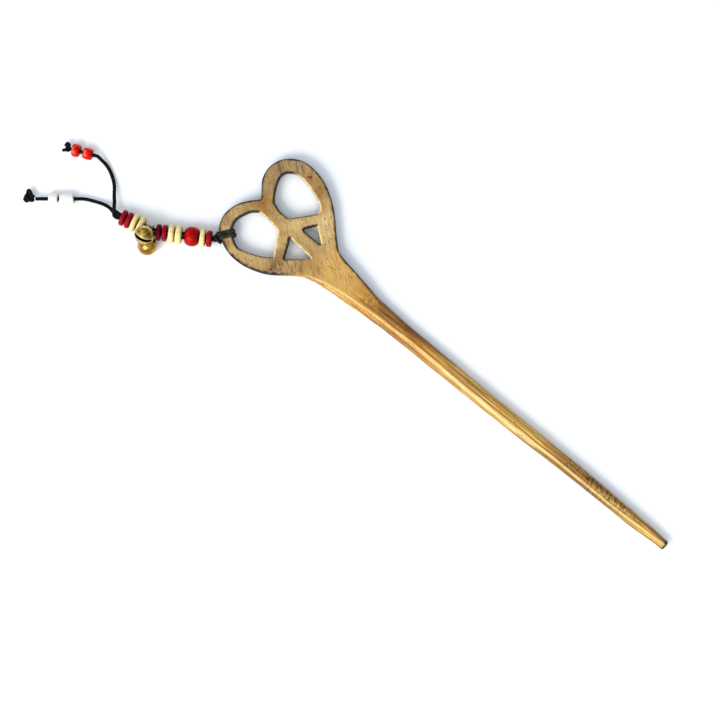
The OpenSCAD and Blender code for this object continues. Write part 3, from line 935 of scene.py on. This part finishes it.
# The path of the painted highlight along the shaft's ridge, from the neck to the tip: x, y and half its width
RIDGE = [
    (-55, -9, 0.1), (-53, -8.2, 0.2), (-48, -6.7, 0.22), (-41, -5.6, 0.24), (-33, -5, 0.26),
    (-24, -4.4, 0.28), (-12, -4.3, 0.34), (0, -4.6, 0.45), (13, -4.8, 0.55), (23, -5, 0.6),
    (33, -4.7, 0.4), (41, -4, 0.22), (49, -4.2, 0.22), (62, -4.3, 0.24), (72, -4, 0.24),
    (78, -3.7, 0.26), (83, -3.4, 0.3), (85, -3.3, 0.2),
]
# How strongly the painted brown shade darkens the shaft's far side, and the darker strip under the ridge: x and
# strength
FAR_SHADE = [
    (-36, 0.60), (-30, 1.00), (-18, 0.90), (-6, 0.45), (0, 0.10), (40, 0.15), (50, 0.45), (60, 0.75),
    (70, 0.55), (84, 0.50),
]
UNDER = [
    (-40, 0.0), (-30, 0.45), (30, 0.30), (42, 1.00), (64, 1.00), (72, 0.35), (85, 0.30),
]


def marks(points, spots, sharp=False):
    """Strength at each point of soft round marks."""
    total = np.zeros(len(points))
    for x, y, r, strength in spots:
        away = np.hypot(points[:, 0] - x * MM, points[:, 1] - y * MM) / (r * MM)
        share = 1 - smoothstep(0.55, 1.0, away) if sharp else np.exp(-away ** 2)
        total = np.maximum(total, strength * share)
    return total


def along(x, pairs):
    """Strength at each x, between those of the pairs."""
    return np.interp(x / MM, *np.array(pairs).T)


def line(away, wide, fade=1.5):
    """1 within a line of the given width beside an edge, fading out past it."""
    return 1 - smoothstep(0.7, fade, away / wide)


def faces_opening(points, normals):
    """1 where a wall faces into one of the four openings."""
    found = np.zeros(len(points))
    for x, y, reach in OPENINGS:
        to = np.array([x, y]) * MM - points[:, :2]
        away = np.linalg.norm(to, axis=1)
        inward = (to * normals[:, :2]).sum(1) > 0
        found = np.where(inward & (away < reach * MM), 1.0, found)
    return found


def nearest_walls(points, normals, within):
    """For each point, how far the nearest wall of the slab is, and which way that wall faces."""
    walls = np.nonzero((np.abs(normals[:, 2]) < 0.6) & (points[:, 2] > FACE_Z / 2))[0]
    tree = kdtree.KDTree(len(walls))
    for index in walls:
        tree.insert(points[index], int(index))
    tree.balance()
    away = np.full(len(points), 1.0)
    facing = np.zeros((len(points), 3))
    wall_at = points.copy()
    for index in np.nonzero(within)[0]:
        spot, wall, distance = tree.find(points[index])
        away[index], facing[index], wall_at[index] = distance, normals[wall], spot
    return away, facing, wall_at


class CarvedStick:
    """The stick's mesh, made from the CAD solid, with the marks that its material shows."""

    def __init__(self):
        self.mesh = with_modifiers(
            frame["nodes"]["hair_stick"].data.copy(),
            ("REMESH", {"mode": "VOXEL", "voxel_size": VOXEL}), ("SMOOTH", {"factor": 0.5, "iterations": 4}),
        )
        self.points, self.normals = points_of(self.mesh), normals_of(self.mesh)
        self.x, self.y, self.z = self.points.T
        self.on_shaft = smoothstep(-0.046, -0.026, self.x)
        self.top = (self.z > FACE_Z / 2).astype(float)
        self.flat = smoothstep(0.80, 0.97, np.abs(self.normals[:, 2]))
        self.sunny = smoothstep(-0.062, -0.056, self.x) * (self.y < SHAFT_Y)
        self.pits = marks(self.points, PITS, sharp=True) * self.top
        self.wear()
        highlight_line = self.burn_and_shade_edges()
        self.polish_shaft(highlight_line)
        self.mark_face()

    def mark(self, name, values):
        set_attribute(self.mesh, name, values)

    def wear(self):
        """Files the shaft, planes the head's walls, sinks the pits and blunts the tip."""
        filed = wobble(self.points * np.array([0.35, 1, 1]), 0.0022, 1) * 0.00006
        planed = wobble(self.points, 0.006, 2) * 0.00008
        lift = 0.00007 + filed * self.on_shaft + planed * (1 - self.flat * (1 - self.on_shaft))
        moved = self.points + self.normals * (lift - 0.00025 * self.pits)[:, None]
        blunt = smoothstep(0.0832, 0.0850, self.x)
        moved[:, 0] += 0.00035 * blunt
        moved[:, 1] += (moved[:, 1] - SHAFT_Y) * 0.16 * blunt
        moved[:, 2] = np.maximum(moved[:, 2], 0.0)
        self.mesh.vertices.foreach_set("co", moved.ravel())
        self.mesh.update()

    def burn_and_shade_edges(self):
        """Marks burnt edges and painted shade: dark lines, widest at the lower left outside and on the left inside
        the openings, and the head's steep walls darkened; none on the lit side of the neck.

        Gives back the painted highlight along the openings' right, on the walls that face the light.
        """
        upper_head = (self.z > FACE_Z / 2) & (self.x < 0.0)
        away, facing, wall_at = nearest_walls(self.points, self.normals, upper_head)
        inner = faces_opening(wall_at, facing)
        right, down = facing @ np.array(VIEW_RIGHT), facing @ np.array(VIEW_DOWN)
        broken = 0.75 + 0.5 * wobble(self.points, 0.0018, 5)
        wide = 0.00052 + 0.00036 * smoothstep(0.2, 0.9, down - 0.35 * right)
        wide += 0.00006 * smoothstep(0.3, 0.9, right)
        outer_line = line(away, wide * broken) * (1 - inner)
        inner_line = line(away, 0.00048) * inner * smoothstep(-0.35, 0.35, right + 0.6 * down)
        # Painted highlight on the openings' walls that face the light
        highlight_line = line(away, 0.00038 * broken, 1.7) * inner * smoothstep(0.25, 0.75, 0.2 * down - right)
        shady = smoothstep(-0.046, -0.020, self.x) * (self.y >= SHAFT_Y)
        keep = (1 - self.sunny) * (1 - 0.75 * shady)
        wall = 1 - smoothstep(0.74, 0.96, np.abs(self.normals[:, 2]))
        tip = smoothstep(0.0845, 0.0849, self.x)
        # Burnt edges and painted shade in one mark; the steep walls of the head are darkened as painted shade
        edge = np.maximum.reduce([
            outer_line * keep, inner_line * keep, 0.97 * wall * keep * (self.x < 0), 0.85 * tip,
        ])
        self.mark("edge", np.clip(edge, 0, 1) * (1 - 0.95 * highlight_line))
        return highlight_line

    def polish_shaft(self, highlight_line):
        """Marks the painted highlights, a pale line along the ridge and yellow where the side slopes to the key
        light, and painted brown shade on the far side, with a darker strip under the ridge.
        """
        x, y, slope = self.x, self.y, self.normals[:, 1]
        # Painted highlight: a pale line along the ridge, joined with the one on the openings' walls
        line_x, line_y, line_wide = np.array(RIDGE).T * MM
        off = (y - np.interp(x, line_x, line_y)) / np.interp(x, line_x, line_wide)
        ragged = 0.75 + 0.6 * wobble(self.points * np.array([0.25, 1, 1]), 0.0012, 9)
        ridge_highlight = np.exp(-off ** 2) * ragged * self.top * smoothstep(-0.0552, -0.0530, x)
        self.mark("painted_highlight", np.clip(np.maximum(0.85 * highlight_line, 0.9 * ridge_highlight), 0, 1))
        self.mark("shaft", np.maximum(self.on_shaft, 0.95 * self.sunny * (1 - self.flat)))
        # Painted highlight where the side slopes towards the key light, and on a lit band of the far side
        patchy = 0.7 + 0.5 * wobble(self.points * np.array([0.2, 1, 1]), 0.0016, 7)
        beside = np.exp(-((-slope - 0.45) / 0.22) ** 2) * smoothstep(-0.062, -0.050, x)
        lit = smoothstep(-0.0036, -0.0028, y) * smoothstep(-0.006, 0.004, x) * smoothstep(0.044, 0.034, x)
        self.mark("gold", np.maximum(0.75 * beside * patchy, 0.45 * lit) * self.top)
        # Painted shade: brown where the shaft faces away from the light, and on a darker strip under the ridge
        far_side = np.maximum(smoothstep(0.05, 0.75, slope), smoothstep(-0.0036, -0.0029, y) * (x < -0.012))
        under = smoothstep(-0.8, -2.2, off) * along(x, UNDER) * self.top
        self.mark("painted_shade_and_dark_strip", np.clip(np.maximum(far_side * along(x, FAR_SHADE), under), 0, 1) * self.on_shaft)
        self.mark("rich", smoothstep(-0.045, -0.034, x) * (1 - smoothstep(-0.012, 0.004, x)))

    def mark_face(self):
        """Marks the pits, stains, dull and pale places, file marks and scuffs."""
        self.mark("warm", smoothstep(-0.060, -0.047, self.x) * self.top)
        self.mark("pit", self.pits)
        for name, spots in (("stain", STAINS), ("dull", DULLS), ("pale", PALES)):
            self.mark(name, marks(self.points, spots) * self.flat)
        hatch = np.maximum(marks(self.points, HATCHES), 0.30)
        self.mark("hatch", hatch * self.flat * (1 - 0.7 * self.on_shaft))
        self.mark("scuff", marks(self.points, SCUFFS))


stick = add_object("carved_stick", CarvedStick().mesh, "carved_bone")
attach(stick, "stick")
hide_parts("hair_stick")


# ---------------------------------------------------------------- floor and light
KEY_AZIMUTH = -97
FLOOR_HALF = 1.5
# The floor lies a little below the object's lowest point
FLOOR_DROP = 0.00003


def floor():
    s = Shader("pale_floor", Specular_IOR_Level=0.2)
    paper = s.noise(60, 4, 0.6)
    colour = s.ramp(paper, [(0.3, (0.93, 0.935, 0.945)), (0.7, (0.95, 0.955, 0.96))])
    material = s.finish(colour, s.band(paper, 0.3, 0.7, 0.75, 0.85), (paper, 0.00002))
    half = FLOOR_HALF
    corners = [(-half, -half, 0), (half, -half, 0), (half, half, 0), (-half, half, 0)]
    plane = bpy.data.objects.new("floor", mesh_of("floor", corners, [(0, 1, 2, 3)]))
    plane.data.materials.append(material)
    plane.location.z = -FLOOR_DROP
    bpy.context.scene.collection.objects.link(plane)


def softbox(name, azimuth, elevation, distance, width, depth, watts, colour):
    """An area light that looks at the object from a direction in the row frame."""
    data = bpy.data.lights.new(name, "AREA")
    data.shape = "RECTANGLE"
    data.size, data.size_y = width, depth
    data.energy, data.color = watts, colour
    lamp = bpy.data.objects.new(name, data)
    flat = math.cos(math.radians(elevation))
    back = heading(azimuth) * flat + Vector((0, 0, math.sin(math.radians(elevation))))
    lamp.location = Vector((*VIEW_CENTRE, 0)) + back * distance
    lamp.rotation_euler = (-back).to_track_quat("-Z", "Y").to_euler()
    bpy.context.scene.collection.objects.link(lamp)


def studio():
    """White surroundings, brightest on the key's side and dim near the horizon opposite."""
    world = bpy.data.worlds.new("studio")
    world.use_nodes = True
    tree = world.node_tree
    background = tree.nodes["Background"]
    background.inputs["Color"].default_value = (0.84, 0.91, 1.0, 1)
    coordinates = tree.nodes.new("ShaderNodeTexCoord")
    towards = tree.nodes.new("ShaderNodeVectorMath")
    towards.operation = "DOT_PRODUCT"
    towards.inputs[1].default_value = heading(KEY_AZIMUTH) * 0.62 + Vector((0, 0, 0.78))
    spread = tree.nodes.new("ShaderNodeMapRange")
    spread.interpolation_type = "SMOOTHSTEP"
    # From -0.35 to 0.85 of that direction, the strength goes from 0.38 to 1.2
    for socket, value in ((1, -0.35), (2, 0.85), (3, 0.38), (4, 1.2)):
        spread.inputs[socket].default_value = value
    tree.links.new(coordinates.outputs["Generated"], towards.inputs[0])
    tree.links.new(towards.outputs["Value"], spread.inputs[0])
    tree.links.new(spread.outputs[0], background.inputs["Strength"])
    bpy.context.scene.world = world


floor()
softbox("key", KEY_AZIMUTH, 44, 0.75, 0.55, 0.45, 3.6, (1.0, 0.975, 0.93))
softbox("glint", -105, 56, 0.75, 0.10, 0.07, 0.5, (1.0, 0.99, 0.97))
studio()
bpy.context.scene.view_settings.view_transform = "Standard"
